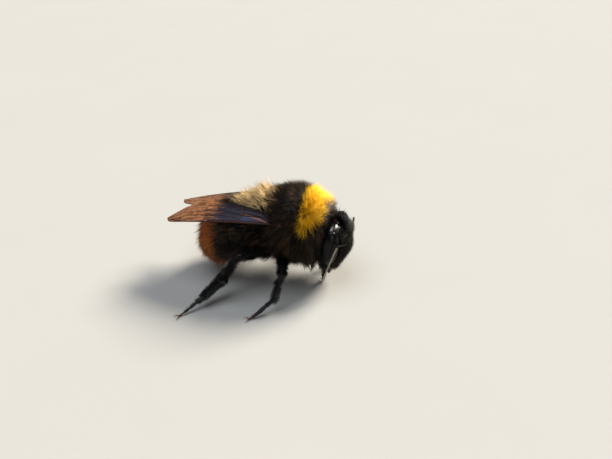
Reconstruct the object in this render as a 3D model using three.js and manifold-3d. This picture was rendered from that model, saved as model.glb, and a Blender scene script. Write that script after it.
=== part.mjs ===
// A bumblebee queen, life size, standing with her wings folded and her head hanging.
// Millimetres, +Z up. She faces -Y, her right side is -X, and the floor is z = 0.
// Each solid is drawn out to the tips of its hair.

import * as THREE from "three";
import { mergeVertices } from "three/addons/utils/BufferGeometryUtils.js";
import Module from "manifold-3d";

const wasm = await Module();
wasm.setup();

// The driving sizes.

const seam = 0.06; // the thin cut between two neighbouring pieces
const limbRadius = 0.26; // half the least thickness of a feeler or a toe
const wingThickness = 0.5;

// A place is given as forward, right and up from the floor under the middle of the thorax.
const thorax = { centre: [0.35, 0, 6.1], halfWidth: 3.9, halfHeight: 3.85, halfLength: 4.05, pitch: 12 };

const abdomen = {
  waist: [-1.6, 0, 6.2],
  back: [-7.4, 0, 4.75],
  tail: [-8.9, 0, 0.7],
  halfWidth: 4.0,
  halfHeight: 3.05,
  fullEnd: 0.35, // the share of the length where it is fullest
};
// The long hair between the wings stands up as a ridge along the abdomen.
const ridge = { front: [-1.0, 0, 7.3], back: [-8.4, 0, 5.7], halfWidth: 1.9, halfHeight: 2.1 };

const head = {
  crown: [4.85, 0, 7.05],
  mouth: [3.6, 0, 1.35],
  halfWidth: 2.65,
  halfDepth: 1.6,
  jawNarrowing: 0.45, // how much narrower the head is at the mouth than at the crown
};

const eye = { top: [4.4, 1.85, 6.55], bottom: [3.8, 1.9, 3.0], halfWidth: 0.64, halfDepth: 0.86 };

const mouthparts = { top: [3.75, 0, 2.1], bottom: [3.35, 0, 0.75], halfWidth: 0.95, halfDepth: 0.62 };

// An antenna runs from its socket to the elbow and hangs from there to its tip.
const antennae = {
  right: {
    socket: [5.35, 0.6, 4.6],
    elbow: [5.0, 2.85, 5.75],
    bend: [4.5, 3.35, 3.6],
    tip: [3.35, 3.0, 1.45],
  },
  left: {
    socket: [5.35, -0.6, 4.6],
    elbow: [5.05, -2.7, 5.35],
    bend: [4.6, -3.3, 3.3],
    tip: [3.5, -3.0, 1.2],
  },
};

// A leg runs from its hip over the knee and the ankle to the toes.
const legs = {
  front_right: {
    hip: [1.9, 1.45, 2.95],
    knee: [3.05, 2.3, 4.6],
    ankle: [3.2, 1.35, 2.2],
    toes: [2.75, 0.5, 0],
  },
  front_left: {
    hip: [1.9, -1.45, 2.95],
    knee: [3.0, -2.5, 4.4],
    ankle: [3.1, -2.1, 2.1],
    toes: [3.3, -1.95, 0],
  },
  middle_right: {
    hip: [-0.4, 1.9, 3.5],
    knee: [0.3, 4.6, 3.35],
    ankle: [-0.1, 5.95, 1.5],
    toes: [-2.0, 7.5, 0],
  },
  middle_left: {
    hip: [-0.4, -1.9, 3.5],
    knee: [0.1, -4.6, 3.4],
    ankle: [-0.2, -6.0, 1.5],
    toes: [-1.5, -7.5, 0],
  },
  hind_right: {
    hip: [-1.9, 1.9, 3.7],
    knee: [-3.55, 4.95, 4.85],
    ankle: [-5.45, 5.1, 2.1],
    toes: [-8.35, 8.65, 0],
  },
  hind_left: {
    hip: [-1.9, -1.9, 3.7],
    knee: [-3.55, -4.9, 4.7],
    ankle: [-5.2, -5.4, 2.1],
    toes: [-7.6, -8.2, 0],
  },
};
// The first joint of a front leg.
const coxa = { top: [1.3, 1.0, 3.9], bottom: [2.0, 1.55, 2.4], halfWidth: 0.5 };
const thighRadius = { front: 0.45, middle: 0.5, hind: 0.55 };
const shinRadius = { front: 0.38, middle: 0.45, hind: 0.6 };
const footSag = 0.25; // how far a foot sags below the straight line from ankle to toes
const heelShare = 0.5; // the share of a foot that its broad first joint takes
const footFlat = 0.14; // how far a toe's underside is cut back to stand flat on the floor

// A wing's outer edge runs from base to tip, and its blade spreads inward from that edge.
const wing = {
  base: [-0.6, 2.95, 7.0],
  middle: [-6.2, 3.15, 7.6],
  tip: [-11.75, 1.9, 5.75],
  roll: 9, // how far the outer edge drops, in degrees
};
const foreWing = { chord: 2.7, widest: 0.54, reach: 1, drop: 0, inset: 0 };
const hindWing = { chord: 1.65, widest: 0.55, reach: 0.72, drop: wingThickness + 2 * seam, inset: 0.9 };

// The materials.

const finish = (color, roughness, metalness = 0) =>
  new THREE.MeshStandardMaterial({ color, roughness, metalness });
const finishes = {
  coat: finish(0x17140f, 0.9),
  shell: finish(0x0c0b0b, 0.3),
  eye: finish(0x08080a, 0.15),
  feeler: finish(0x1a1614, 0.4),
  wing: finish(0x5a4330, 0.35),
};

// The shapes.

const bee = ([forward, right, up]) => new THREE.Vector3(-right, -forward, up);
const mirrored = (point) => [point[0], -point[1], point[2]];
const up = new THREE.Vector3(0, 0, 1);

// A closed round body along a spine: a unit sphere whose poles go to the spine's two ends.
// widths and depths give its half sizes along the spine, and a fullness under 1 blunts the ends.
function body({ spine, sideways, widths, depths, fullness = 1, around = 10, along = 8, grow = 0 }) {
  const shape = new THREE.SphereGeometry(1, around, along);
  const place = shape.getAttribute("position");
  for (let i = 0; i < place.count; i++) {
    const [x, y, z] = [place.getX(i), place.getY(i), place.getZ(i)];
    const share = (1 - y) / 2;
    const ring = Math.hypot(x, z);
    const blunt = ring > 1e-6 ? ring ** (fullness - 1) : 0;
    const centre = spine.getPoint(share);
    const run = spine.getTangent(share);
    centre.addScaledVector(run, (2 * share - 1) * grow);
    const side = sideways.clone().addScaledVector(run, -sideways.dot(run)).normalize();
    const depth = new THREE.Vector3().crossVectors(side, run);
    centre.addScaledVector(side, x * blunt * (widths(share) + grow));
    centre.addScaledVector(depth, z * blunt * (depths(share) + grow));
    place.setXYZ(i, centre.x, centre.y, centre.z);
  }
  return shape;
}

const steady = (size) => () => size;
const between = (from, to) => (share) => from + (to - from) * share;
const straight = (from, to) => new THREE.LineCurve3(bee(from), bee(to));
const bent = (from, through, to) => new THREE.QuadraticBezierCurve3(bee(from), bee(through), bee(to));
const across = new THREE.Vector3(1, 0, 0);

function thoraxShape(grow) {
  const shape = new THREE.SphereGeometry(1, 22, 12);
  shape.scale(thorax.halfWidth + grow, thorax.halfLength + grow, thorax.halfHeight + grow);
  shape.rotateX(THREE.MathUtils.degToRad(-thorax.pitch));
  return shape.translate(...bee(thorax.centre).toArray());
}

function abdomenShape(grow) {
  const { waist, back, tail, halfWidth, halfHeight, fullEnd } = abdomen;
  const swell = (share) => Math.sin((Math.PI / 2) * Math.min(1, share / fullEnd)) ** 0.3;
  const shrink = (share) => 1 - 0.2 * Math.max(0, (share - fullEnd) / (1 - fullEnd));
  const size = (share) => swell(share) * shrink(share);
  return body({
    spine: bent(waist, back, tail),
    sideways: across,
    widths: (share) => halfWidth * size(share),
    depths: (share) => halfHeight * size(share),
    fullness: 0.9,
    around: 20,
    along: 12,
    grow,
  });
}

const ridgeShape = (grow) =>
  body({
    spine: straight(ridge.front, ridge.back),
    sideways: across,
    widths: steady(ridge.halfWidth),
    depths: steady(ridge.halfHeight),
    fullness: 0.9,
    around: 12,
    along: 8,
    grow,
  });

function headShape(grow) {
  const narrow = (share) => 1 - head.jawNarrowing * share ** 1.6;
  return body({
    spine: straight(head.crown, head.mouth),
    sideways: across,
    widths: (share) => head.halfWidth * narrow(share),
    depths: (share) => head.halfDepth * (1 - 0.3 * share ** 2),
    fullness: 0.85,
    around: 16,
    along: 10,
    grow,
  });
}

const eyeShape = (side) => (grow) =>
  body({
    spine: straight(side(eye.top), side(eye.bottom)),
    sideways: across,
    widths: steady(eye.halfWidth),
    depths: steady(eye.halfDepth),
    fullness: 0.9,
    around: 12,
    along: 8,
    grow,
  });

const mouthShape = (grow) =>
  body({
    spine: straight(mouthparts.top, mouthparts.bottom),
    sideways: across,
    widths: between(mouthparts.halfWidth, mouthparts.halfWidth * 0.6),
    depths: steady(mouthparts.halfDepth),
    fullness: 0.7,
    around: 12,
    along: 8,
    grow,
  });

const scapeShape = (antenna) => (grow) =>
  body({
    spine: straight(antenna.socket, antenna.elbow),
    sideways: up,
    widths: steady(limbRadius),
    depths: steady(limbRadius),
    fullness: 0.5,
    around: 8,
    along: 6,
    grow,
  });

const flagellumShape = (antenna) => (grow) =>
  body({
    spine: bent(antenna.elbow, antenna.bend, antenna.tip),
    sideways: across,
    widths: steady(limbRadius),
    depths: steady(limbRadius),
    fullness: 0.4,
    around: 8,
    along: 10,
    grow,
  });

const coxaShape = (side) => (grow) =>
  body({
    spine: straight(side(coxa.top), side(coxa.bottom)),
    sideways: across,
    widths: steady(coxa.halfWidth),
    depths: steady(coxa.halfWidth),
    fullness: 0.6,
    around: 8,
    along: 6,
    grow,
  });

const thighShape = (leg, radius) => (grow) =>
  body({
    spine: straight(leg.hip, leg.knee),
    sideways: up,
    widths: between(radius, radius * 0.8),
    depths: between(radius, radius * 0.8),
    fullness: 0.5,
    around: 8,
    along: 6,
    grow,
  });

const shinShape = (leg, radius) => (grow) =>
  body({
    spine: straight(leg.knee, leg.ankle),
    sideways: new THREE.Vector3(0, 1, 0),
    widths: between(radius * 0.7, radius),
    depths: between(limbRadius, limbRadius * 1.2),
    fullness: 0.45,
    around: 8,
    along: 6,
    grow,
  });

// A foot leaves the ankle as a long first joint and thins into toes that lie on the floor.
const footShape = (leg, radius) => (grow) => {
  const rest = [leg.toes[0], leg.toes[1], leg.toes[2] + limbRadius - footFlat];
  const arch = leg.ankle.map((value, axis) => value * 0.45 + rest[axis] * 0.55);
  arch[2] -= footSag;
  return body({
    spine: bent(leg.ankle, arch, rest),
    sideways: across,
    widths: (share) => (share < heelShare ? Math.max(limbRadius, radius * 0.75) : limbRadius),
    depths: steady(limbRadius),
    fullness: 0.4,
    around: 8,
    along: 10,
    grow,
  });
};

// A wing is a bent plate.
// Its chord grows from the base to its widest place and rounds off at the tip.
const wingShape = (side, blade) => (grow) => {
  const shape = new THREE.BoxGeometry(1, 1, 1, 14, 4, 1);
  const place = shape.getAttribute("position");
  const edge = bent(side(wing.base), side(wing.middle), side(wing.tip));
  const roll = THREE.MathUtils.degToRad(wing.roll);
  const inward = bee(side([0, -Math.cos(roll), Math.sin(roll)]));
  for (let i = 0; i < place.count; i++) {
    const share = place.getX(i) + 0.5;
    const run = edge.getTangent(share * blade.reach);
    const spread = inward.clone().addScaledVector(run, -inward.dot(run)).normalize();
    const normal = new THREE.Vector3().crossVectors(spread, run);
    normal.multiplyScalar(Math.sign(normal.z));
    const rise = Math.min(1, share / blade.widest) ** 0.75;
    const fall = Math.max(0, (share - blade.widest) / (1 - blade.widest));
    const chord = Math.max(wingThickness, blade.chord * rise * Math.sqrt(1 - fall ** 1.7));
    const centre = edge.getPoint(share * blade.reach);
    centre.addScaledVector(run, (2 * share - 1) * grow);
    centre.addScaledVector(spread, blade.inset * rise + chord / 2 + place.getY(i) * (chord + 2 * grow));
    centre.addScaledVector(normal, place.getZ(i) * (wingThickness + 2 * grow) - blade.drop);
    place.setXYZ(i, centre.x, centre.y, centre.z);
  }
  return shape;
};

// The solids.

function solidOf(shape) {
  const bare = shape.clone();
  bare.deleteAttribute("normal");
  bare.deleteAttribute("uv");
  const merged = mergeVertices(bare, 1e-4);
  const vertProperties = merged.getAttribute("position").array;
  const triVerts = new Uint32Array(merged.index.array);
  const made = new wasm.Manifold(new wasm.Mesh({ numProp: 3, vertProperties, triVerts }));
  if (made.volume() > 0) return made;
  triVerts.reverse();
  return new wasm.Manifold(new wasm.Mesh({ numProp: 3, vertProperties, triVerts }));
}

function largest(solid) {
  return solid.decompose().reduce((best, piece) => (piece.volume() > best.volume() ? piece : best));
}

function meshOf(name, solid, material) {
  const { vertProperties, numProp, numVert, triVerts } = solid.getMesh();
  const points = new Float32Array(numVert * 3);
  for (let i = 0; i < numVert; i++) {
    points.set(vertProperties.subarray(i * numProp, i * numProp + 3), i * 3);
  }
  const shape = new THREE.BufferGeometry();
  shape.setAttribute("position", new THREE.BufferAttribute(points, 3));
  shape.setIndex(new THREE.BufferAttribute(triVerts, 1));
  shape.computeVertexNormals();
  const mesh = new THREE.Mesh(shape, material);
  mesh.name = name;
  return mesh;
}

// Where two pieces meet, the earlier one in this list keeps its shape and the later one is cut back.
const pieces = [];
const sides = { right: (point) => point, left: mirrored };

for (const [name, side] of Object.entries(sides)) {
  const foreShape = wingShape(side, foreWing);
  const hindShape = wingShape(side, hindWing);
  pieces.push({ name: `wing_${name}_fore`, shape: foreShape, material: finishes.wing });
  pieces.push({ name: `wing_${name}_hind`, shape: hindShape, material: finishes.wing });
}
pieces.push({ name: "thorax", shape: thoraxShape, material: finishes.coat });
for (const [name, side] of Object.entries(sides)) {
  pieces.push({ name: `eye_${name}`, shape: eyeShape(side), material: finishes.eye });
  pieces.push({ name: `leg_front_${name}_coxa`, shape: coxaShape(side), material: finishes.shell });
}
for (const [name, antenna] of Object.entries(antennae)) {
  const scape = scapeShape(antenna);
  const flagellum = flagellumShape(antenna);
  pieces.push({ name: `antenna_${name}_scape`, shape: scape, material: finishes.shell });
  pieces.push({ name: `antenna_${name}_flagellum`, shape: flagellum, material: finishes.feeler });
}
for (const [name, leg] of Object.entries(legs)) {
  const pair = name.split("_")[0];
  const joints = {
    femur: thighShape(leg, thighRadius[pair]),
    tibia: shinShape(leg, shinRadius[pair]),
    tarsus: footShape(leg, shinRadius[pair]),
  };
  for (const [joint, shape] of Object.entries(joints)) {
    pieces.push({ name: `leg_${name}_${joint}`, shape, material: finishes.shell });
  }
}
pieces.push({ name: "mouthparts", shape: mouthShape, material: finishes.shell });
pieces.push({ name: "head", shape: headShape, material: finishes.coat });
pieces.push({ name: "abdomen", shape: abdomenShape, joined: ridgeShape, material: finishes.coat });

const insect = new THREE.Group();
const earlier = [];
for (const { name, shape, joined, material } of pieces) {
  let solid = solidOf(shape(0)).trimByPlane([0, 0, 1], 0);
  if (joined) solid = solid.add(solidOf(joined(0)));
  for (const neighbour of earlier) solid = solid.subtract(neighbour);
  earlier.push(solidOf(shape(seam)));
  insect.add(meshOf(name, largest(solid), material));
}

// The frame's origin is on the floor, at the middle of the whole insect's box.
const box = new THREE.Box3().setFromObject(insect);
insect.position.set(-(box.min.x + box.max.x) / 2, -(box.min.y + box.max.y) / 2, 0);
const group = new THREE.Group();
group.add(insect);

export default group;
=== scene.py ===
import bpy
import math
import numpy as np
from mathutils import Matrix, Vector


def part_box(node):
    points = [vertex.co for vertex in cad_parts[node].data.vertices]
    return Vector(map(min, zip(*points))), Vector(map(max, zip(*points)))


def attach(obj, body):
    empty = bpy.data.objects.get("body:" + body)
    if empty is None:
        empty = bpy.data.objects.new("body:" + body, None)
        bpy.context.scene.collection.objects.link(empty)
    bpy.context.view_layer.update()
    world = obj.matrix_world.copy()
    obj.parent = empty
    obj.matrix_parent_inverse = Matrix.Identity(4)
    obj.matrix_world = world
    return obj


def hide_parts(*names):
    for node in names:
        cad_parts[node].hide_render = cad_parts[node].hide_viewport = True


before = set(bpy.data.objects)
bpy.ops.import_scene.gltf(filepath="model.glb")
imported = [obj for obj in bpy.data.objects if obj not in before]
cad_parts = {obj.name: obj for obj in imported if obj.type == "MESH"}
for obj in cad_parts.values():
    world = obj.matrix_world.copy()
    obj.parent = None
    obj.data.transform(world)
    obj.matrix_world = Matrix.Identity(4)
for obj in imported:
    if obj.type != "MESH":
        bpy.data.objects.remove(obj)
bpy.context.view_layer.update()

# Everything is modelled in millimetres and shrunk to metres once a piece is done.
# A place on the bee is given as forward, right and up from the floor under the thorax.
mm = 0.001
thoraxLow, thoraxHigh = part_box("thorax")
thoraxForward = 0.35  # how far the middle of the thorax is in front of that floor point
originX = (thoraxLow.x + thoraxHigh.x) / 2 / mm
originY = (thoraxLow.y + thoraxHigh.y) / 2 / mm + thoraxForward


def spot(forward, right, up):
    return Vector((originX - right, originY - forward, up))


def aim(forward, right, up):  # a direction on the bee
    return Vector((-right, -forward, up))


def beePlaces(points):  # the other way, for a whole array of points
    return np.stack([originY - points[:, 1], originX - points[:, 0], points[:, 2]], axis=1)


camera = {"forward": 19.69, "right": 50.79, "up": 40.2, "look": (0.789, 0.287, -0.543), "roll": 4.17,
          "focalPixels": 700, "imageWidth": 612, "sensor": 36}
studio = {
    "key": {"at": (2160, -2640, 2880), "size": 1920, "power": 576.0, "colour": (1.0, 0.93, 0.82)},
    "top": {"at": (-720, 720, 5280), "size": 4800, "power": 245.0, "colour": (0.86, 0.92, 1.0)},
    "fill": {"at": (1440, 4560, 2160), "size": 3840, "power": 61.0, "colour": (1.0, 0.98, 0.95)},
    "ambient": 0.1,
}
floorLook = {"size": 20000, "colour": (0.33, 0.325, 0.31)}


def makeCamera():
    forward = Vector(camera["look"]).normalized()
    right = forward.cross(Vector((0, 0, 1))).normalized()
    up = right.cross(forward)
    roll = math.radians(camera["roll"])
    localX = right * math.cos(roll) - up * math.sin(roll)
    localY = right * math.sin(roll) + up * math.cos(roll)
    data = bpy.data.cameras.new("camera")
    data.sensor_fit = "HORIZONTAL"
    data.sensor_width = camera["sensor"]
    data.lens = camera["sensor"] * camera["focalPixels"] / camera["imageWidth"]
    data.clip_start, data.clip_end = 0.001, 10
    thing = bpy.data.objects.new("camera", data)
    place = spot(camera["forward"], camera["right"], camera["up"]) * mm
    turn = Matrix((localX, localY, -forward)).transposed().to_4x4()
    thing.matrix_world = Matrix.Translation(place) @ turn
    bpy.context.scene.collection.objects.link(thing)
    bpy.context.scene.camera = thing


def makeLight(name, facts):
    data = bpy.data.lights.new(name, "AREA")
    data.shape = "DISK"
    data.size = facts["size"] * mm
    data.energy = facts["power"]
    data.color = facts["colour"]
    thing = bpy.data.objects.new(name, data)
    thing.location = spot(*facts["at"]) * mm
    toBee = (spot(-2, 0, 4) * mm - thing.location).normalized()
    thing.rotation_euler = toBee.to_track_quat("-Z", "Y").to_euler()
    bpy.context.scene.collection.objects.link(thing)


class Signal:  # a socket of a material, with the usual arithmetic
    def __init__(self, tree, socket):
        self.tree, self.socket = tree, socket

    def maths(self, operation, *others):
        return self.tree.node("ShaderNodeMath", {"operation": operation}, {0: self, **dict(enumerate(others, 1))})

    def __add__(self, other):
        return self.maths("ADD", other)

    def __sub__(self, other):
        return self.maths("SUBTRACT", other)

    def __mul__(self, other):
        return self.maths("MULTIPLY", other)

    def __truediv__(self, other):
        return self.maths("DIVIDE", other)

    def __rsub__(self, other):
        return self.tree.node("ShaderNodeMath", {"operation": "SUBTRACT"}, {0: other, 1: self})

    def __neg__(self):
        return self * -1

    def __pow__(self, other):
        return self.maths("POWER", other)

    def __abs__(self):
        return self.maths("ABSOLUTE")

    __radd__ = __add__
    __rmul__ = __mul__


class Finish:  # one material and its nodes
    def __init__(self, name, colour=(0.5, 0.5, 0.5), **sockets):
        self.material = bpy.data.materials.new(name)
        self.material.use_nodes = True
        self.nodes, self.links = self.material.node_tree.nodes, self.material.node_tree.links
        self.shader = self.nodes["Principled BSDF"]
        self.shader.inputs["Base Color"].default_value = (*colour, 1)
        for socket, value in sockets.items():
            self.shader.inputs[socket.replace("_", " ")].default_value = value

    def node(self, kind, settings=None, inputs=None, output=0):
        made = self.nodes.new(kind)
        for setting, value in (settings or {}).items():
            setattr(made, setting, value)
        for socket, value in (inputs or {}).items():
            self.plug(made.inputs[socket], value)
        return Signal(self, made.outputs[output])

    def plug(self, socket, value):
        if isinstance(value, Signal):
            self.links.new(value.socket, socket)
        elif isinstance(value, tuple) and socket.type == "RGBA":
            socket.default_value = (*value, 1)
        else:
            socket.default_value = value

    def feed(self, socket, value):
        self.plug(self.shader.inputs[socket], value)

    def step(self, value, low, high):  # 0 below low, 1 above high, smooth between
        return self.node("ShaderNodeMapRange", {"interpolation_type": "SMOOTHSTEP"},
                         {"Value": value, "From Min": low, "From Max": high})

    def blend(self, share, first, second):  # a mix of two colours
        return self.node("ShaderNodeMix", {"data_type": "RGBA"}, {0: share, 6: first, 7: second}, output=2)

    def noise(self, place, scale, detail=3, roughness=0.6):
        return self.node("ShaderNodeTexNoise", {},
                         {"Vector": place, "Scale": scale, "Detail": detail, "Roughness": roughness})

    def object(self):
        return self.node("ShaderNodeTexCoord", output=3)

    def split(self, vector):
        parts = [self.node("ShaderNodeSeparateXYZ", {}, {0: vector}, output=axis) for axis in range(3)]
        return parts

    def bump(self, height, strength, distance):
        self.feed("Normal", self.node("ShaderNodeBump", {}, {"Height": height, "Strength": strength,
                                                              "Distance": distance}))


def paint(red, green, blue):  # screen colour, 0 to 255, to a shader's own
    return tuple(((c / 255 + 0.055) / 1.055) ** 2.4 if c > 10 else c / 255 / 12.92 for c in (red, green, blue))


markings = {
    "collarRear": 1.5, "collarTop": 0.2,  # at the sides, and how much further forward on top
    "collarLow": 8.25, "collarDrop": 0.48,  # the collar ends lower down at the sides
    "tailStart": 6.75, "tailSlope": 0.0,
    # The sheen keys place pale-tipped hair on the thorax's rear and the abdomen's front: painted glints of light on
    # black hair
    "sheenFront": -0.4, "sheenFade": 2.2, "sheenBack": -6.4, "sheenHalfWidth": 2.3, "sheenLow": 6.4,
    "softEdge": 0.35, "wander": 0.9, "wanderScale": 1100,
}
hairColours = {
    "black": (paint(3, 2, 2), paint(112, 84, 56)),  # at the root and at the tip; the pale brown tips on a few hairs are painted glints on black hair
    "yellow": (paint(196, 130, 4), paint(224, 174, 14)),
    # painted sheen: pale beige tips that stand in for glints of light on black hair
    "paintedSheen": (paint(36, 26, 15), paint(255, 216, 152)),
    "tail": (paint(22, 9, 3), paint(190, 108, 46)),
}


def beeAxes(finish, place):  # a vector in metres as forward, right and up in millimetres
    x, y, z = finish.split(place)
    return originY - y / mm, originX - x / mm, z / mm


def markMasks(finish, place):
    m = markings
    forward, right, up = beeAxes(finish, place)
    wander = (finish.noise(place, m["wanderScale"]) - 0.5) * m["wander"]
    soft = m["softEdge"]
    aside = abs(right)
    rear = forward - finish.step(up, 9.0, 9.8) * m["collarTop"]
    collar = finish.step(rear + wander, m["collarRear"] - soft, m["collarRear"] + soft)
    collar = collar * finish.step(up + aside * m["collarDrop"] + wander, m["collarLow"] - soft, m["collarLow"] + soft)
    tail = finish.step(-forward - up * m["tailSlope"] + wander * 0.5, m["tailStart"] - soft, m["tailStart"] + soft)
    tail = tail * (1 - finish.step(aside, 3.7, 4.1))  # none on the legs
    # where the painted sheen of glinting black hair goes
    paintedSheen = finish.step(-forward, -m["sheenFront"], m["sheenFade"] - m["sheenFront"])
    paintedSheen = paintedSheen * (1 - finish.step(-forward, -m["sheenBack"] - 1.5, -m["sheenBack"]))
    paintedSheen = paintedSheen * (1 - finish.step(aside + wander, m["sheenHalfWidth"] - 1, m["sheenHalfWidth"] + 0.4))
    paintedSheen = paintedSheen * finish.step(up, m["sheenLow"], m["sheenLow"] + 0.8) * 0.75
    return {"yellow": collar, "tail": tail, "paintedSheen": paintedSheen}


def coatFinish(name, marks):
    finish = Finish(name, Roughness=0.4, Specular_IOR_Level=0.2)
    strand = finish.split(finish.node("ShaderNodeAttribute", {"attribute_name": "strand"}, output=1))
    along, shade, chance = strand
    place = finish.node("ShaderNodeAttribute", {"attribute_name": "mark"}, output=1)
    masks = markMasks(finish, place)
    # pale tips on the palest hairs: painted glints on the black coat
    colour = finish.blend(finish.step(along, 0.2, 0.9) * finish.step(shade, 0.7, 1.05), *hairColours["black"])
    for mark in marks:
        rise = finish.step(along + shade, 0.3, 1.45)
        share = finish.step(masks[mark] - chance, -0.05, 0.05)
        colour = finish.blend(share, colour, finish.blend(rise, *hairColours[mark]))
    finish.feed("Base Color", colour)
    return finish.material


def skinFinish():
    finish = Finish("skinFinish", Roughness=0.36, Specular_IOR_Level=0.28, Coat_Roughness=0.14)
    place = finish.object()
    masks = markMasks(finish, place)
    forward, right, up = beeAxes(finish, place)
    grain = finish.noise(place, 9000, 4)
    colour = finish.blend(grain, paint(8, 7, 6), paint(22, 18, 15))
    toes = 1 - finish.step(up, 0.15, 0.5)
    colour = finish.blend(toes * 0.7, colour, paint(84, 42, 24))
    onBody = finish.step(-forward, -3.6, -3.2)  # the head has no collar
    colour = finish.blend(masks["yellow"] * onBody * 0.5, colour, paint(120, 84, 14))
    colour = finish.blend(masks["tail"] * 0.6, colour, paint(96, 56, 26))
    finish.feed("Base Color", colour)
    finish.feed("Roughness", 0.16 + grain * 0.3)
    finish.feed("Coat Weight", finish.step(forward, 3.2, 3.6) * finish.step(up, 5.4, 5.8))  # the glossy crown
    finish.bump(grain, 0.5, 0.02 * mm)
    return finish.material


def shellFinish(name, dark, light, roughness, scale, shine=0.5):
    finish = Finish(name, Roughness=roughness, Specular_IOR_Level=shine)
    grain = finish.noise(finish.object(), scale, 4)
    finish.feed("Base Color", finish.blend(grain, dark, light))
    finish.feed("Roughness", roughness + (grain - 0.5) * 0.2)
    finish.bump(grain, 0.4, 0.012 * mm)
    return finish.material


def eyeFinish():
    finish = Finish("eyeFinish", paint(6, 6, 8), Roughness=0.14, Specular_IOR_Level=0.13)
    place = finish.object()
    cells = finish.node("ShaderNodeTexVoronoi", {}, {"Vector": place, "Scale": 26000})
    tone = finish.noise(place, 1200, 2)
    finish.feed("Base Color", finish.blend(tone, paint(4, 4, 5), paint(12, 12, 15)))
    finish.bump(1 - cells, 0.35, 0.01 * mm)
    return finish.material


def wingFinish():
    finish = Finish("wingFinish", Roughness=0.4, IOR=1.5, Specular_IOR_Level=0.35, Thin_Film_Thickness=420, Thin_Film_IOR=1.45)
    blade = finish.node("ShaderNodeUVMap", {"uv_map": "blade"})
    along, across, _ = finish.split(blade)
    streaks = finish.noise(finish.node("ShaderNodeCombineXYZ", {}, {0: along * 7, 1: across * 26}), 1.0, 4)
    outer = finish.step(along + (streaks - 0.5) * 0.3, 0.5, 0.68)
    crumple = finish.noise(finish.node("ShaderNodeCombineXYZ", {}, {0: along * 34, 1: across * 13}), 1.0, 3)
    # glow picks lighter or darker membrane by its crinkles: painted light and shade on the crumpled membrane
    glow = finish.step(streaks * 0.6 + crumple * 0.4, 0.4, 0.63)
    colour = finish.blend(glow, finish.blend(outer, paint(8, 8, 13), paint(60, 33, 28)),
                          finish.blend(outer, paint(32, 36, 50), paint(170, 112, 58)))
    rootward = 1 - finish.step(along, 0.24, 0.36)
    beside = across - along * 1.1 - 0.16
    rust = (1 - finish.step(abs(beside), 0.03, 0.08)) * rootward
    # blue: a painted blue sheen of reflected light near the wing's root
    blue = (1 - finish.step(beside, -0.12, -0.04)) * rootward * finish.step(streaks, 0.35, 0.6)
    colour = finish.blend(blue * 0.7, colour, paint(36, 50, 86))
    colour = finish.blend(rust, colour, paint(122, 68, 40))
    finish.feed("Base Color", colour)
    finish.feed("Alpha", 0.96 - outer * 0.12 + (streaks - 0.5) * 0.2)
    finish.bump(streaks + crumple * outer, 0.6, 0.05 * mm)
    return finish.material


def deselect():
    bpy.ops.object.select_all(action="DESELECT")


def pick(*things):
    deselect()
    for thing in things:
        thing.select_set(True)
    bpy.context.view_layer.objects.active = things[0]


def turnFor(run, side=Vector((0, 0, 1))):  # local Z along run, local X towards side
    run = run.normalized()
    across = side - run * side.dot(run)
    if across.length < 1e-4:
        across = run.orthogonal()
    across.normalize()
    return Matrix((across, run.cross(across), run)).transposed()


def settle(thing, radii, run, side):  # gives a fresh unit shape its size and turn
    thing.scale = radii
    thing.rotation_euler = turnFor(run, side).to_euler()
    bpy.ops.object.transform_apply(location=True, rotation=True, scale=True)
    return thing


def ball(centre, radii, run=(0, 0, 1), side=(0, 1, 0), detail=28):
    deselect()
    bpy.ops.mesh.primitive_uv_sphere_add(segments=detail, ring_count=detail * 2 // 3, location=spot(*centre))
    return settle(bpy.context.object, radii, aim(*run), aim(*side))


def limb(start, end, startRadius, endRadius, flat=1.0, side=(0, 0, 1), detail=16):  # a tapered rod with round ends
    start, end = spot(*start), spot(*end)
    run = end - start
    deselect()
    bpy.ops.mesh.primitive_cone_add(vertices=detail, radius1=startRadius, radius2=endRadius, depth=run.length,
                                    location=(start + end) / 2)
    pieces = [settle(bpy.context.object, (1, flat, 1), run, aim(*side))]
    for place, radius in ((start, startRadius), (end, endRadius)):
        bpy.ops.mesh.primitive_uv_sphere_add(segments=detail, ring_count=detail // 2, location=place)
        pieces.append(settle(bpy.context.object, (radius, radius * flat, radius), run, aim(*side)))
    return joined(pieces)


def joined(pieces):
    pick(*pieces)
    if len(pieces) > 1:
        bpy.ops.object.join()
    return bpy.context.object


def modify(thing, kind, **settings):  # adds a modifier and applies it
    pick(thing)
    modifier = thing.modifiers.new(kind.lower(), kind)
    for setting, value in settings.items():
        setattr(modifier, setting, value)
    bpy.ops.object.modifier_apply(modifier=modifier.name)


def fuse(thing, grain, smoothing):  # makes overlapping shapes one closed skin
    modify(thing, "REMESH", mode="VOXEL", voxel_size=grain)
    modify(thing, "SMOOTH", factor=0.5, iterations=smoothing)


def complete(thing, name, look, replaced=(), smooth=True):  # to metres, named, painted and riding
    pick(thing)
    thing.scale = (mm, mm, mm)
    bpy.ops.object.transform_apply(location=True, rotation=True, scale=True)
    if smooth:
        bpy.ops.object.shade_smooth()
    thing.name = thing.data.name = name
    thing.data.materials.clear()
    thing.data.materials.append(look)
    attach(thing, "root")
    if replaced:
        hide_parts(*replaced)
    print(name, len(thing.data.polygons), "faces")
    return thing


def bezier(first, bend, last, share):
    a, b, c = (np.array(p, float) for p in (first, bend, last))
    share = np.asarray(share, float)[..., None]
    return a * (1 - share) ** 2 + 2 * b * share * (1 - share) + c * share**2


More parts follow.
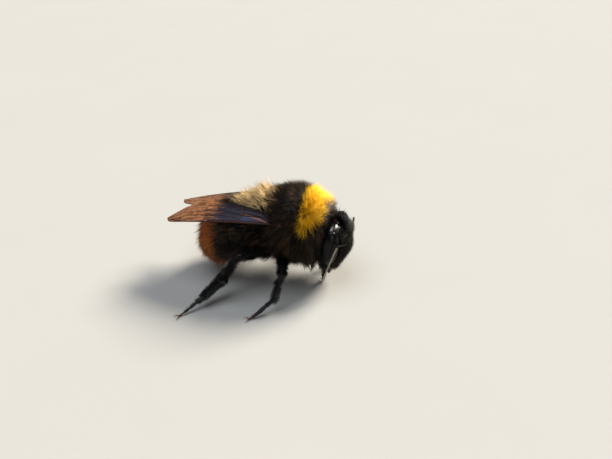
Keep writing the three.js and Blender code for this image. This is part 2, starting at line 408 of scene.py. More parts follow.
thorax = {"middle": (0.3, 0, 5.95), "radii": (2.75, 2.85, 2.7)}  # radii: across, along, up
abdomen = {"waist": (-2.1, 0, 5.3), "back": (-6.8, 0, 4.9), "tail": (-7.25, 0, 3.1),
           "halfWidth": 2.95, "halfHeight": 2.1, "segments": 6, "segmentLength": 1.65}
head = {
    "vertex": ((4.2, 0, 5.5), (1.75, 0.95, 1.1)),
    "crown": ((4.0, 0, 5.8), (1.9, 0.85, 0.95)),
    "face": ((4.0, 0, 4.3), (1.65, 0.9, 1.6)),
    "back": ((3.6, 0, 4.7), (1.65, 0.75, 1.55)),
    "clypeus": ((4.05, 0, 3.4), (0.8, 0.42, 0.95)),
    "jaws": ((3.5, 0, 3.0), (1.12, 0.68, 0.95)),
    "lip": ((3.7, 0, 2.4), (0.55, 0.3, 0.45)),
    "brow": ((4.85, 0, 4.8), (0.8, 0.3, 0.45)),
}
bareCrown = {"middle": (4.2, 1.15, 6.4), "radii": (1.1, 1.1, 0.85)}  # the glossy patch inside each eye's upper end
eyes = {"top": (4.3, 1.75, 6.55), "bottom": (3.55, 1.88, 3.05), "halfWidth": 0.66, "halfLength": 0.88}
legs = {
    "front_right": {"hip": (1.9, 1.45, 2.95), "knee": (3.05, 2.3, 4.6), "ankle": (3.2, 1.35, 2.2), "toes": (2.75, 0.5, 0)},
    "front_left": {"hip": (1.9, -1.45, 2.95), "knee": (3.0, -2.5, 4.4), "ankle": (3.1, -2.1, 2.1), "toes": (3.3, -1.95, 0)},
    "middle_right": {"hip": (-0.4, 1.9, 3.5), "knee": (0.3, 4.6, 3.35), "ankle": (-0.1, 5.95, 1.5), "toes": (-2.0, 7.5, 0)},
    "middle_left": {"hip": (-0.4, -1.9, 3.5), "knee": (0.1, -4.6, 3.4), "ankle": (-0.2, -6.0, 1.5), "toes": (-1.5, -7.5, 0)},
    "hind_right": {"hip": (-1.9, 1.9, 3.7), "knee": (-3.55, 4.95, 4.85), "ankle": (-5.45, 5.1, 2.1), "toes": (-8.35, 8.65, 0)},
    "hind_left": {"hip": (-1.9, -1.9, 3.7), "knee": (-3.55, -4.9, 4.7), "ankle": (-5.2, -5.4, 2.1), "toes": (-7.6, -8.2, 0)},
}
legBuild = {  # radii at the joints, with the shin's and heel's flatness
    "front": {"thigh": (0.34, 0.24), "shin": (0.2, 0.26), "heel": 0.19, "flat": 0.8, "root": (1.5, 1.0, 3.9)},
    "middle": {"thigh": (0.42, 0.3), "shin": (0.19, 0.27), "heel": 0.2, "flat": 0.75, "root": (-0.3, 1.2, 4.0)},
    "hind": {"thigh": (0.38, 0.3), "shin": (0.22, 0.42), "heel": 0.68, "flat": 0.36, "root": (-1.6, 1.2, 4.2)},
}
foot = {"sag": 0.25, "heelShare": 0.4, "heelTaper": 0.7, "joints": 4, "toeRadius": 0.12}
skinBuild = {"grain": 0.075, "smoothing": 3}


def legPlaces(name):  # the foot's joints, from ankle to toes, as points along its bend
    leg = legs[name]
    rest = np.array(leg["toes"], float) + (0, 0, foot["toeRadius"])
    arch = np.array(leg["ankle"]) * 0.45 + rest * 0.55 - (0, 0, foot["sag"])
    shares = [0, foot["heelShare"]] + [foot["heelShare"] + (1 - foot["heelShare"]) * (k + 1) / foot["joints"]
                                       for k in range(foot["joints"])]
    return [tuple(p) for p in bezier(leg["ankle"], arch, rest, shares)]


def makeLeg(name):
    leg, build = legs[name], legBuild[name.split("_")[0]]
    hand = 1 if name.endswith("right") else -1
    root = (build["root"][0], build["root"][1] * hand, build["root"][2])
    thigh, shin, heel, flat = build["thigh"], build["shin"], build["heel"], build["flat"]
    pieces = [limb(root, leg["hip"], thigh[0] * 1.3, thigh[0] * 1.1),
              limb(leg["hip"], leg["knee"], *thigh),
              limb(leg["knee"], leg["ankle"], *shin, flat=flat, side=(1, 0, 0.3))]
    joints = legPlaces(name)
    ankleEnd = max(heel * foot["heelTaper"], foot["toeRadius"] * 1.3)
    pieces.append(limb(joints[0], joints[1], heel, ankleEnd, flat=flat, side=(1, 0, 0.3)))
    for number, (start, end) in enumerate(zip(joints[1:], joints[2:])):
        width = foot["toeRadius"] * (1.7 - 0.27 * number)
        pieces.append(limb(start, end, width * 0.75, width))
    return joined(pieces)


def makeSkin(look):
    across, along, up = thorax["radii"]
    pieces = [ball(thorax["middle"], (across, along, up)),
              ball((-2.0, 0, 7.0), (1.7, 0.85, 0.75)),  # the shield behind the wings
              ball((-2.2, 0, 5.2), (1.0, 0.9, 1.1)),
              ball((3.3, 0, 5.0), (0.95, 0.7, 1.0))]  # the neck
    for centre, radii in head.values():
        pieces.append(ball(centre, radii, run=(0.17, 0, 1)))
    for k in range(abdomen["segments"]):
        share = (k + 0.5) / abdomen["segments"]
        swell = math.sin(math.pi / 2 * min(1, share / 0.35)) ** 0.35 * (1 - 0.42 * max(0, share - 0.45) / 0.55)
        centre = bezier(abdomen["waist"], abdomen["back"], abdomen["tail"], share)
        ahead = bezier(abdomen["waist"], abdomen["back"], abdomen["tail"], share + 0.01)
        radii = (abdomen["halfWidth"] * swell, abdomen["halfHeight"] * swell,
                 abdomen["segmentLength"] * (1 - 0.3 * smooth(share, 0.6, 0.95)))
        pieces.append(ball(centre, radii, run=ahead - centre))
    pieces += [makeLeg(name) for name in legs]
    skin = joined(pieces)
    fuse(skin, skinBuild["grain"], skinBuild["smoothing"])
    for vertex in skin.data.vertices:
        vertex.co.z = max(vertex.co.z, 0.02)
    replaced = ["thorax", "abdomen", "head"]
    replaced += [f"leg_{name}_{length}" for name in legs for length in ("femur", "tibia", "tarsus")]
    replaced += [f"leg_front_{hand}_coxa" for hand in ("right", "left")]
    return complete(skin, "skin", look, replaced)


def makeEye(hand, sign, look):
    top, bottom = (np.array(eyes[end]) * (1, sign, 1) for end in ("top", "bottom"))
    centre, run = (top + bottom) / 2, top - bottom
    size = (eyes["halfWidth"], eyes["halfLength"], np.linalg.norm(run) / 2)
    eye = ball(centre, size, run=run, detail=64)
    return complete(eye, f"eye_{hand}_facets", look, [f"eye_{hand}"])


def makeSimpleEyes(look):
    places = [(4.78, 0, 6.36), (4.5, 0.42, 6.58), (4.5, -0.42, 6.58)]
    beads = joined([ball(place, (0.13, 0.13, 0.11), detail=20) for place in places])
    return complete(beads, "simple_eyes", look)


antennae = {
    "right": {"socket": (5.35, 0.6, 4.6), "elbow": (5.0, 2.85, 5.75), "bend": (4.2, 3.25, 3.8), "tip": (3.35, 3.0, 1.45)},
    "left": {"socket": (5.35, -0.6, 4.6), "elbow": (5.05, -2.7, 5.35), "bend": (4.6, -3.3, 3.3), "tip": (3.5, -3.0, 1.2)},
}
antennaBuild = {"radius": 0.08, "joints": 11, "waist": 0.82}
claws = {"length": 0.58, "radius": 0.06, "spread": 0.32, "segments": 4}


def makeAntenna(hand, stalkLook, lashLook):
    antenna, radius = antennae[hand], antennaBuild["radius"]
    scape = joined([limb(antenna["socket"], antenna["elbow"], radius * 0.85, radius * 1.15),
                    ball(antenna["socket"], (radius * 1.6,) * 3, detail=16)])
    complete(scape, f"antenna_{hand}_stalk", stalkLook, [f"antenna_{hand}_scape"])
    shares = np.linspace(0, 1, antennaBuild["joints"] + 1)
    joints = bezier(antenna["elbow"], antenna["bend"], antenna["tip"], shares)
    pieces = [limb(start, start + (end - start) * 0.9, radius * antennaBuild["waist"], radius)
              for start, end in zip(joints, joints[1:])]
    complete(joined(pieces), f"antenna_{hand}_lash", lashLook, [f"antenna_{hand}_flagellum"])


def makeMouthparts(look):
    pieces = []
    for sign in (1, -1):
        jaw = [(3.65, 0.95 * sign, 2.75), (3.65, 0.75 * sign, 2.0), (3.55, 0.35 * sign, 1.4), (3.5, -0.1 * sign, 1.25)]
        widths = [0.32, 0.28, 0.22, 0.1]
        for k in range(3):
            pieces.append(limb(jaw[k], jaw[k + 1], widths[k], widths[k + 1], flat=0.5, side=(0, 0, 1)))
        pieces.append(limb((3.5, 0.2 * sign, 2.2), (3.25, 0.14 * sign, 0.85), 0.26, 0.14, flat=0.7))
    mouth = joined(pieces)
    fuse(mouth, 0.04, 2)
    return complete(mouth, "jaws_and_tongue", look, ["mouthparts"])


def makeClaws(look):
    pieces = []
    for name in legs:
        before, tip = (np.array(p) for p in legPlaces(name)[-2:])
        run = (tip - before) * (1, 1, 0)
        run /= np.linalg.norm(run)
        across = np.array((-run[1], run[0], 0))
        for sign in (1, -1):
            bend = np.linspace(0, 1, claws["segments"] + 1)[:, None]
            path = tip + run * claws["length"] * bend * 0.8 + across * sign * claws["spread"] * np.sqrt(bend)
            path[:, 2] = tip[2] + 0.1 * np.sin(bend[:, 0] * math.pi * 0.6) - (tip[2] + 0.04) * bend[:, 0] ** 3
            widths = claws["radius"] * (1 - 0.85 * bend[:, 0])
            pieces += [limb(path[k], path[k + 1], widths[k], widths[k + 1], detail=8)
                       for k in range(claws["segments"])]
    return complete(joined(pieces), "claws", look)


wing = {"base": (-0.42, 2.79, 7.2), "middle": (-6.13, 3.45, 7.05), "tip": (-12.02, 2.14, 5.6), "roll": 11.2,
        "lift": {"right": 0.3, "left": -0.15}, "breadth": {"right": 1, "left": 1.18},
        "riseCurve": 0.43, "fallCurve": 1.8,
        "tipFrom": 0.92, "tipTuck": 0.34,
        "membrane": 0.022, "vein": 0.05, "along": 96, "across": 20}
blades = {
    "fore": {"chord": 3.0, "widest": 0.62, "reach": 1, "drop": 0, "inset": 0},
    "hind": {"chord": 1.65, "widest": 0.55, "reach": 0.72, "drop": 0.26, "inset": 0.9},
}
# A vein is drawn as places on the blade, each a share of its length and of its width from the outer edge.
veins = {
    "fore": [
        [(0, 0.1), (0.2, 0.03), (0.45, 0.02), (0.62, 0.02), (0.78, 0.03), (0.9, 0.08), (0.955, 0.2)],
        [(0, 0.3), (0.15, 0.14), (0.35, 0.1), (0.6, 0.07)],
        [(0.35, 0.1), (0.33, 0.24), (0.3, 0.4)],
        [(0.02, 0.5), (0.15, 0.42), (0.3, 0.4), (0.42, 0.5), (0.54, 0.52), (0.68, 0.48), (0.8, 0.42), (0.83, 0.3)],
        [(0.35, 0.26), (0.48, 0.3), (0.6, 0.28), (0.72, 0.28), (0.83, 0.3), (0.9, 0.1)],
        [(0.6, 0.07), (0.62, 0.28)],
        [(0.48, 0.3), (0.5, 0.51)],
        [(0.6, 0.28), (0.61, 0.51)],
        [(0.72, 0.28), (0.73, 0.46)],
        [(0.02, 0.75), (0.15, 0.72), (0.3, 0.74), (0.45, 0.83), (0.52, 0.93)],
        [(0.3, 0.4), (0.31, 0.74)],
        [(0.54, 0.52), (0.53, 0.7), (0.4, 0.8)],
        [(0.66, 0.49), (0.66, 0.7), (0.53, 0.72)],
    ],
    "hind": [
        [(0, 0.15), (0.3, 0.05), (0.6, 0.04), (0.85, 0.1)],
        [(0.02, 0.45), (0.25, 0.35), (0.5, 0.32), (0.75, 0.4)],
        [(0.02, 0.7), (0.3, 0.68), (0.55, 0.8)],
        [(0.3, 0.06), (0.32, 0.34)],
        [(0.5, 0.32), (0.48, 0.72)],
    ],
}


def bladePoints(kind, hand, along, across):
    blade = blades[kind]
    edge = (wing["base"], np.add(wing["middle"], (0, 0, wing["lift"][hand])), wing["tip"])
    along, across = np.asarray(along, float), np.asarray(across, float)
    centre = bezier(*edge, along * blade["reach"])
    run = bezier(*edge, along * blade["reach"] + 0.001) - centre
    run /= np.linalg.norm(run, axis=-1, keepdims=True)
    roll = math.radians(wing["roll"])
    inward = np.array((0, -math.cos(roll), math.sin(roll)))
    spread = inward - run * (run @ inward)[..., None]
    spread /= np.linalg.norm(spread, axis=-1, keepdims=True)
    normal = np.cross(spread, run)
    normal *= np.sign(normal[..., 2:])
    rise = np.minimum(1, along / blade["widest"]) ** wing["riseCurve"] * smooth(along, -0.01, 0.16)
    fall = np.maximum(0, (along - blade["widest"]) / (1 - blade["widest"]))
    breadth = blade["chord"] * wing["breadth"][hand]
    chord = np.maximum(0.03, breadth * rise * np.sqrt(np.maximum(0, 1 - fall ** wing["fallCurve"])))
    ripple = np.sin(across * 17 + along * 5) + 0.7 * np.sin(along * 40 - across * 9) * along**2
    ripple = 0.035 * ripple * np.minimum(1, across * 3)
    camber = 0.14 * np.sin(math.pi * across) * rise
    ending = np.clip((along - wing["tipFrom"]) / (1 - wing["tipFrom"]), 0, 1)
    tuck = wing["tipTuck"] * (1 - np.sqrt(1 - ending**2))  # rounds the tip
    places = centre + spread * (blade["inset"] * rise + tuck + chord * across)[..., None]
    places += normal * (camber + ripple - blade["drop"])[..., None]
    return places * (1, 1 if hand == "right" else -1, 1)


def makeWingPlates(look):  # the little scales over the wing roots
    plates = joined([ball((-0.1, 2.85 * sign, 7.2), (0.28, 0.4, 0.34), run=(0, 0.5 * sign, 1)) for sign in (1, -1)])
    return complete(plates, "wing_plates", look)


def makeWing(kind, hand, membraneLook, veinLook):
    deselect()
    bpy.ops.mesh.primitive_grid_add(x_subdivisions=wing["along"], y_subdivisions=wing["across"], size=1)
    membrane = bpy.context.object
    flat = np.array([v.co for v in membrane.data.vertices])[:, :2] + 0.5
    layer = membrane.data.uv_layers.active
    layer.name = "blade"
    corners = np.array([loop.vertex_index for loop in membrane.data.loops])
    layer.data.foreach_set("uv", flat[corners].ravel())
    places = bladePoints(kind, hand, flat[:, 0], flat[:, 1])
    for vertex, place in zip(membrane.data.vertices, places):
        vertex.co = spot(*place)
    modify(membrane, "SOLIDIFY", thickness=wing["membrane"], offset=0)
    pick(membrane)
    bpy.ops.object.mode_set(mode="EDIT")
    bpy.ops.mesh.select_all(action="SELECT")
    bpy.ops.mesh.normals_make_consistent(inside=False)
    bpy.ops.object.mode_set(mode="OBJECT")
    curve = bpy.data.curves.new("veins", "CURVE")
    curve.dimensions, curve.bevel_depth, curve.bevel_resolution = "3D", wing["vein"], 1
    curve.use_fill_caps = True
    for index, vein in enumerate(veins[kind]):
        stops = np.array(vein)
        shares = np.linspace(0, len(stops) - 1, 6 * len(stops))
        path = [np.interp(shares, range(len(stops)), stops[:, axis]) for axis in (0, 1)]
        line = curve.splines.new("POLY")
        line.points.add(len(shares) - 1)
        for point, place, along in zip(line.points, bladePoints(kind, hand, *path), path[0]):
            point.co = (*spot(*place), 1)
            point.radius = (1.5 if index == 0 else 1.0) * (1.15 - 0.6 * along)
    frameThing = bpy.data.objects.new("veins", curve)
    bpy.context.scene.collection.objects.link(frameThing)
    pick(frameThing)
    bpy.ops.object.convert(target="MESH")
    veinMesh = bpy.context.object
    complete(membrane, f"wing_{hand}_{kind}_membrane", membraneLook, [f"wing_{hand}_{kind}"])
    complete(veinMesh, f"wing_{hand}_{kind}_veins", veinLook)


# Lengths in millimetres. Stand is how far a hair rises for each part it runs along the body.
# Pale sets how often the black hairs get the pale tips of painted glint.
coat = {
    "thorax": {"hairs": 50000, "length": 1.4, "stand": 1.5, "strayLength": 1.0, "pale": 1},
    "abdomen": {"hairs": 52000, "length": 1.45, "stand": 0.5, "strayLength": 1.15, "pale": 0.95},
    "head": {"hairs": 17000, "length": 0.6, "stand": 1.4, "strayLength": 1.9, "pale": 0.85},
    "legs": {"hairs": 19000, "length": 0.38, "stand": 0.6, "strayLength": 1.3, "pale": 0.7},
    "tuft": 6, "spread": 0.09, "radius": 0.022, "gather": 0.45, "perPiece": 19500,
    "tuftJitter": 0.2, "hairJitter": 0.16, "lengthJitter": 0.22, "strays": 0.06, "longest": 1.4, "seed": 11,
}


def unit(vectors):
    return vectors / np.maximum(np.linalg.norm(vectors, axis=-1, keepdims=True), 1e-9)


def smooth(values, low, high):
    share = np.clip((values - low) / (high - low), 0, 1)
    return share * share * (3 - 2 * share)


def ellipsoidGap(places, centre, radii):  # radii across, along and up
    offset = (places - centre) / (radii[1], radii[0], radii[2])
    return (np.linalg.norm(offset, axis=1) - 1) * min(radii)


def thoraxField(places, normals):
    forward, right, up = places.T
    gap = np.minimum(ellipsoidGap(places, thorax["middle"], thorax["radii"]),
                     ellipsoidGap(places, (-2.0, 0, 7.0), (1.7, 0.85, 0.75)))
    aside = np.abs(right) / thorax["radii"][0]
    lie = np.stack([-0.9 + 0.7 * smooth(forward, 0.5, 2.6), np.zeros_like(up), -1.3 * aside], axis=1)
    low = smooth(-up, -4.6, -3.4)
    collarFront = smooth(forward, 2.2, 2.9) * (1 - smooth(up, 7.0, 7.8))
    top = smooth(up, 6.9, 8.0) * smooth(forward, -1.4, -0.2)
    length = coat["thorax"]["length"] * (1 - 0.1 * low - 0.4 * collarFront - 0.2 * top
                                         + 0.3 * smooth(-forward, 1.0, 2.2) * smooth(up, 6.6, 7.4))
    stand = coat["thorax"]["stand"] * (1 - 0.66 * aside + 0.3 * smooth(forward, 0.8, 2.4) * (1 - aside))
    density = 1 - 0.6 * low
    for sign in (1, -1):
        base = np.linalg.norm(places - (wing["base"][0] + 0.2, wing["base"][1] * sign * 0.9, wing["base"][2]), axis=1)
        density = density * smooth(base, 0.2, 0.35)
    around = np.arctan2(right, up - thorax["middle"][2]) / (2 * math.pi) + 0.5
    return gap, lie, length, stand, density, np.stack([around, (forward + 3.4) / 7.2], axis=1)


def abdomenField(places, normals):
    shares = np.linspace(0, 1, 60)
    spine = bezier(abdomen["waist"], abdomen["back"], abdomen["tail"], shares)
    tangents = unit(np.gradient(spine, axis=0))
    nearest = np.argmin(((places[:, None] - spine[None]) ** 2).sum(-1), axis=1)
    share, tangent = shares[nearest], tangents[nearest]
    offset = places - spine[nearest]
    raised = np.cross(tangent, np.array((0, 1, 0)))
    raised *= np.sign(raised[:, 2:])
    height = (offset * raised).sum(1)
    gap = (np.hypot(offset[:, 1] / abdomen["halfWidth"], height / abdomen["halfHeight"]) - 1) * 2
    beyond = np.abs((offset * tangent).sum(1))
    gap = np.maximum(gap, beyond - abdomen["segmentLength"])
    forward, right, up = places.T
    gapWidth = wingCover(forward)[0]
    ridge = smooth(height, 1.2, 1.8) * (1 - smooth(np.abs(right) - gapWidth, -0.35, 0)) * (1 - smooth(-forward, 5, 7.5))
    low = smooth(-height, 0.6, 1.6)
    lie = tangent + np.array((0, 0, -0.25))
    rear = smooth(-forward, 2.6, 5.2)
    length = coat["abdomen"]["length"] * (1 + ridge * (0.35 - 0.5 * rear) - 0.35 * low)
    stand = coat["abdomen"]["stand"] * (1 + ridge * (4 - 2.5 * rear) - 0.3 * low + 0.35 * smooth(share, 0.6, 0.9))
    density = 1 - 0.5 * low + 0.6 * ridge
    around = np.arctan2(right, height) / (2 * math.pi) + 0.5
    return gap, lie, length, stand, density, np.stack([around, share], axis=1)


def headField(places, normals):
    forward, right, up = places.T
    gap = np.min([ellipsoidGap(places, centre, radii) for centre, radii in head.values()], axis=0)
    front = smooth(forward, 4.3, 4.9)
    crown = smooth(up, 5.4, 6.2)
    snout = front * smooth(-up, -4.0, -3.2)
    lie = np.stack([-0.5 + 1.0 * front, np.sign(right) * 0.1, -0.8 + 1.1 * crown + 0.2 * snout], axis=1)
    ridge = crown * (1 - smooth(np.abs(right), 0.3, 0.6))
    beard = front * smooth(-up, -5.0, -4.2) * (1 - snout)
    length = coat["head"]["length"] * (1 + 0.5 * ridge - 0.25 * front + 0.35 * beard - 0.15 * snout)
    stand = coat["head"]["stand"] * (1 + 0.4 * front + 0.5 * beard)
    density = 1 - 0.5 * smooth(-forward, -3.9, -3.5)
    for sign in (1, -1):
        top, bottom = (np.array(eyes[end]) * (1, sign, 1) for end in ("top", "bottom"))
        run = top - bottom
        share = np.clip((places - bottom) @ run / (run @ run), 0, 1)
        away = (places - bottom - share[:, None] * run) / (eyes["halfLength"], eyes["halfWidth"], 1)
        narrow = np.sqrt(np.maximum(0.05, 1 - (2 * share - 1) ** 2))
        density = density * (np.linalg.norm(away, axis=1) > narrow * 1.06)
        socket = np.linalg.norm(places - antennae["right" if sign > 0 else "left"]["socket"], axis=1)
        density = density * smooth(socket, 0.2, 0.3)
        bare = np.linalg.norm((places * (1, sign, 1) - bareCrown["middle"]) / bareCrown["radii"], axis=1)
        density = density * (0.08 + 0.92 * smooth(bare, 0.8, 1.1))
    around = np.arctan2(right, forward - 4.0) / (2 * math.pi) + 0.5
    return gap, lie, length, stand, density, np.stack([around, (up - 1.3) / 5.6], axis=1)


def legField(places, normals, name, number):
    build, leg = legBuild[name.split("_")[0]], legs[name]
    hand = 1 if name.endswith("right") else -1
    root = (build["root"][0], build["root"][1] * hand, build["root"][2])
    joints = [root, leg["hip"], leg["knee"], leg["ankle"]] + legPlaces(name)[1:]
    widths = [build["thigh"][0] * 1.2, build["thigh"][0], np.mean(build["shin"]), build["heel"]]
    widths += [foot["toeRadius"]] * foot["joints"]
    hind = name.startswith("hind")
    lengths = [1.9, 1.1, 1.0, 0.75 if hind else 0.5] + [0.28] * foot["joints"]
    best = np.full(len(places), 1e9)
    lie, length = np.zeros_like(places), np.zeros(len(places))
    density, chart = np.zeros(len(places)), np.zeros((len(places), 2))
    for k, (start, end) in enumerate(zip(joints, joints[1:])):
        start, end = np.array(start, float), np.array(end, float)
        run = end - start
        share = np.clip((places - start) @ run / (run @ run), 0, 1)
        offset = places - start - share[:, None] * run
        gap = np.linalg.norm(offset, axis=1) - widths[k]
        side = unit(np.cross(run, (0, 0, 1.0)))
        sideways = (unit(offset) @ side)
        around = np.arctan2(sideways, unit(offset) @ unit(np.cross(side, run))) / (2 * math.pi) + 0.5
        mine = gap < best
        fringe = 1.0
        if hind and k == 2:  # the long fringe along the edges of the hind shin
            fringe = 1 + 0.5 * smooth(np.abs(normals @ unit(np.cross(run, (1, 0, 0.3)))), 0.5, 0.95)
            fringe = fringe[mine]
        best[mine], lie[mine] = gap[mine], unit(run)
        length[mine] = coat["legs"]["length"] * lengths[k] * fringe
        density[mine] = 1.0 if k < 4 else 0.5
        chart[mine] = np.stack([(number + around) / len(legs), (k + share) / (len(joints) - 1)], axis=1)[mine]
    stand = np.full(len(places), coat["legs"]["stand"]) * (1.5 if name.startswith("front") else 1)
    return best, lie, length, stand, density, chart


def wingCover(forward):  # the folded wing's inner and outer edge, and the height of its outer edge
    share = np.clip((wing["base"][0] - forward) / (wing["base"][0] - wing["tip"][0]), 0, 1)
    edge = bezier(wing["base"], wing["middle"], wing["tip"], share)
    rise = np.minimum(1, share / blades["fore"]["widest"]) ** wing["riseCurve"]
    return edge[:, 1] - blades["fore"]["chord"] * rise, edge[:, 1], edge[:, 2]


def combAround(points, root):  # keeps hair below the folded wings, or between them
    inner, outer, height = wingCover(points[:, 0])
    rootInner, rootOuter, rootHeight = wingCover(root[:, 0])
    slope = math.tan(math.radians(wing["roll"]))
    behind = points[:, 0] < wing["base"][0] - 0.9
    aside = np.abs(points[:, 1])
    under = height + (outer - aside) * slope - blades["hind"]["drop"] - 0.06
    rootUnder = rootHeight + (rootOuter - np.abs(root[:, 1])) * slope - blades["hind"]["drop"]
    free = (root[:, 2] > rootUnder) | (np.abs(root[:, 1]) < rootInner - 0.1)
    limit = np.maximum(inner - 0.06, 0.3)
    high = points[:, 2] > under
    points[:, 1] = np.where(behind & free & high & (aside > limit), np.sign(points[:, 1]) * limit, points[:, 1])
    sunk = behind & ~free & high & (aside > inner) & (aside < outer + 0.12)
    points[:, 2] = np.where(sunk, np.maximum(under, root[:, 2] + 0.06), points[:, 2])
    points[:, 2] = np.maximum(points[:, 2], 0.02)


def hairMesh(name, roots, middles, tips, radii, shades, chances, marks, chart):
    count = len(roots)
    run = unit(tips - roots)
    side = unit(np.cross(run, np.where(np.abs(run[:, 2:]) < 0.9, (0, 0, 1.0), (1.0, 0, 0))))
    other = np.cross(run, side)
    points = np.empty((count, 7, 3))
    for corner in range(3):
        angle = 2 * math.pi * corner / 3
        ring = (side * math.cos(angle) + other * math.sin(angle)) * radii[:, None]
        points[:, corner] = roots + ring
        points[:, 3 + corner] = middles + ring * 0.9
    points[:, 6] = tips
    points[:, :, 2] = np.maximum(points[:, :, 2], 0.01)
    pattern = np.array([2, 1, 0, 0, 1, 4, 3, 1, 2, 5, 4, 2, 0, 3, 5, 3, 4, 6, 4, 5, 6, 5, 3, 6])
    starts = np.array([0, 3, 7, 11, 15, 18, 21])
    mesh = bpy.data.meshes.new(name)
    mesh.vertices.add(count * 7)
    mesh.vertices.foreach_set("co", (points * mm).ravel())
    mesh.loops.add(count * 24)
    mesh.loops.foreach_set("vertex_index", (pattern[None] + 7 * np.arange(count)[:, None]).ravel().astype(np.int32))
    mesh.polygons.add(count * 7)
    mesh.polygons.foreach_set("loop_start", (starts[None] + 24 * np.arange(count)[:, None]).ravel().astype(np.int32))
    mesh.polygons.foreach_set("use_smooth", np.ones(count * 7, bool))
    along = np.array([0, 0, 0, 0.5, 0.5, 0.5, 1])
    strand = np.zeros((count, 7, 3), np.float32)
    strand[:, :, 0], strand[:, :, 1], strand[:, :, 2] = along, shades[:, None], chances[:, None]
    mesh.attributes.new("strand", "FLOAT_VECTOR", "POINT").data.foreach_set("vector", strand.ravel())
    place = np.repeat(marks[:, None], 7, axis=1).astype(np.float32)
    mesh.attributes.new("mark", "FLOAT_VECTOR", "POINT").data.foreach_set("vector", place.ravel())
    across = np.array([0, 0.5, 1, 0.1, 0.5, 0.9, 0.5])
    patch = np.stack([across, along], axis=1)[pattern]
    patch[:3] = ((0, 0), (1, 0), (0.5, 0.15))
    patch[11:15, 0] = (1, 0.6, 0.6, 1)
    layout = np.clip(chart, 0, 1)[:, None] * 0.996 + patch[None] * 0.003 + 0.0005
    mesh.uv_layers.new(name="OFBake").data.foreach_set("uv", layout.ravel())
    mesh.update(calc_edges=True)
    mesh.validate()
    return mesh


def toRow(places):  # bee millimetres to the frame's millimetres
    return np.stack([originX - places[:, 1], originY - places[:, 0], places[:, 2]], axis=1)


def growCoat(region, weight, corners, facts, look, random):
    hairs = coat[region]["hairs"]
    tufts = hairs // coat["tuft"]
    chosen = random.choice(len(weight), size=tufts, p=weight / weight.sum())
    split = np.sort(random.random((tufts, 2)), axis=1)
    shares = np.stack([split[:, 0], split[:, 1] - split[:, 0], 1 - split[:, 1]], axis=1)
    root = (corners[chosen] * shares[:, :, None]).sum(1)
    normal, lie, length, stand, chart = (facts[key][chosen] for key in ("normal", "lie", "length", "stand", "chart"))
    lie = lie - normal * (lie * normal).sum(1, keepdims=True)
    heading = unit(normal * stand[:, None] + lie + random.normal(0, coat["tuftJitter"], (tufts, 3)))
    tuftLength = length * (1 + random.normal(0, 0.1, tufts))
    tuftTip = root + heading * tuftLength[:, None]
    member = np.repeat(np.arange(tufts), coat["tuft"])
    count = len(member)
    normal, heading = normal[member], heading[member]
    offset = random.normal(0, coat["spread"], (count, 3))
    offset -= normal * (offset * normal).sum(1, keepdims=True)
    start = root[member] + offset - normal * 0.04
    stray = random.random(count) < coat["strays"]
    jitter = np.where(stray, 0.3, coat["hairJitter"])[:, None]
    own = unit(heading + random.normal(0, 1, (count, 3)) * jitter)
    size = tuftLength[member] * np.clip(1 + random.normal(0, coat["lengthJitter"], count), 0.35, 1.35)
    size = np.where(stray, size * coat[region]["strayLength"], size)
    size = np.minimum(size, length[member] * coat["longest"])
    tip = start + own * size[:, None]
    gather = np.where(stray, 0, coat["gather"])[:, None]
    tip = tip * (1 - gather) + (start + (tuftTip[member] - start) * (size / tuftLength[member])[:, None]) * gather
    middle = start + unit(normal * 0.7 + own) * size[:, None] * 0.52
    combAround(middle, start)
    combAround(tip, start)
    reach = np.linalg.norm(tip - start, axis=1)
    tip = start + (tip - start) * np.minimum(1, 1.1 * size / reach)[:, None]
    mark = root + (tuftTip - root) * 0.7
    shade = np.clip(random.normal(0.5, 0.2, count) + np.repeat(random.normal(0, 0.28, tufts), coat["tuft"]), 0, 1)
    shade *= coat[region]["pale"]
    marked = region in ("thorax", "abdomen")
    chance = random.uniform(0.08, 0.92, count) if marked else np.full(count, 9.0)
    radius = coat["radius"] * np.clip(size / 0.9, 0.55, 1.0) * random.uniform(0.75, 1.2, count)
    order = np.argsort(chart[member][:, 0], kind="stable")
    pieces = math.ceil(count / coat["perPiece"])
    for number, part in enumerate(np.array_split(order, pieces), 1):
        name = f"coat_{region}_{number}"
        place = chart[member][part]
        place = (place - place.min(0)) / (place.max(0) - place.min(0))
        mesh = hairMesh(name, *(toRow(points[part]) for points in (start, middle, tip)), radius[part], shade[part],
                        chance[part], toRow(mark[member][part]) * mm, place)
        thing = bpy.data.objects.new(name, mesh)
        bpy.context.scene.collection.objects.link(thing)
        mesh.materials.append(look)
        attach(thing, "root")
        print(name, len(mesh.polygons), "faces")


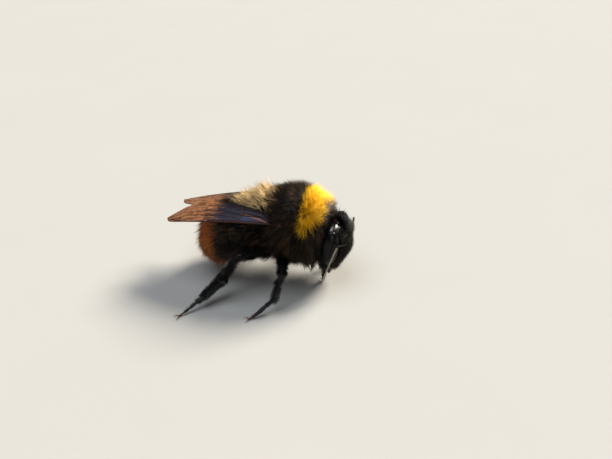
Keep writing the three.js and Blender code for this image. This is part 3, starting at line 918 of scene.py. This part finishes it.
def makeCoats(skin, look):
    mesh = skin.data
    mesh.calc_loop_triangles()
    points = np.empty(len(mesh.vertices) * 3)
    mesh.vertices.foreach_get("co", points)
    points = beePlaces(points.reshape(-1, 3) / mm)
    triangles = np.empty(len(mesh.loop_triangles) * 3, np.int32)
    mesh.loop_triangles.foreach_get("vertices", triangles)
    corners = points[triangles.reshape(-1, 3)]
    crossed = np.cross(corners[:, 2] - corners[:, 0], corners[:, 1] - corners[:, 0])
    area = np.linalg.norm(crossed, axis=1) / 2
    places, normals = corners.mean(1), unit(crossed)
    regions = ["thorax", "abdomen", "head"] + ["legs"] * len(legs)
    found = [thoraxField(places, normals), abdomenField(places, normals), headField(places, normals)]
    found += [legField(places, normals, name, number) for number, name in enumerate(legs)]
    owner = np.argmin([field[0] for field in found], axis=0)
    keys = ("lie", "length", "stand", "density", "chart")
    facts = {key: np.zeros((len(places),) + found[0][index + 1].shape[1:]) for index, key in enumerate(keys)}
    facts["normal"] = normals
    for number, field in enumerate(found):
        mine = owner == number
        for index, key in enumerate(keys):
            facts[key][mine] = field[index + 1][mine]
    random = np.random.default_rng(coat["seed"])
    for region in ("thorax", "abdomen", "head", "legs"):
        mine = np.isin(owner, [k for k, name in enumerate(regions) if name == region])
        growCoat(region, area * facts["density"] * mine, corners, facts, look, random)


def makeStudio():
    deselect()
    bpy.ops.mesh.primitive_plane_add(size=floorLook["size"] * mm)
    floor = bpy.context.object
    floor.name = "floor"
    finish = Finish("floorFinish", floorLook["colour"], Roughness=1.0, Specular_IOR_Level=0.0)
    tone = finish.noise(finish.object(), 60, 2)
    finish.feed("Base Color", finish.blend(tone, floorLook["colour"], tuple(c * 0.97 for c in floorLook["colour"])))
    floor.data.materials.append(finish.material)
    for name in ("key", "top", "fill"):
        makeLight(name, studio[name])
    world = bpy.data.worlds.new("studio")
    world.use_nodes = True
    world.node_tree.nodes["Background"].inputs["Strength"].default_value = studio["ambient"]
    world.node_tree.nodes["Background"].inputs["Color"].default_value = (0.92, 0.96, 1.0, 1)
    bpy.context.scene.world = world
    bpy.context.scene.view_settings.view_transform = "Standard"


makeStudio()
makeCamera()
print("studio ready")

shell = shellFinish("shellFinish", paint(12, 11, 11), paint(40, 34, 30), 0.3, 4000)
claw = shellFinish("clawFinish", paint(48, 22, 12), paint(104, 52, 28), 0.3, 5000)
# the feelers' pale brown-grey is painted sheen along the black flagellum, over its own pale pile
feelerSheen = shellFinish("feelerSheenFinish", paint(104, 94, 78), paint(150, 138, 116), 0.3, 3000)
stalk = shellFinish("stalkFinish", paint(8, 7, 6), paint(16, 14, 12), 0.7, 4000, 0.1)
eye = eyeFinish()
membrane = wingFinish()
vein = shellFinish("veinFinish", paint(20, 12, 9), paint(62, 34, 20), 0.55, 2500, 0.15)

skin = makeSkin(skinFinish())
for hand, sign in (("right", 1), ("left", -1)):
    makeEye(hand, sign, eye)
    makeAntenna(hand, stalk, feelerSheen)
    for kind in ("fore", "hind"):
        makeWing(kind, hand, membrane, vein)
makeSimpleEyes(eye)
makeWingPlates(claw)
makeMouthparts(shell)
makeClaws(claw)
print("pieces ready")

makeCoats(skin, coatFinish("coatFinish", ("paintedSheen", "tail", "yellow")))
print("coat ready")

bpy.context.view_layer.update()
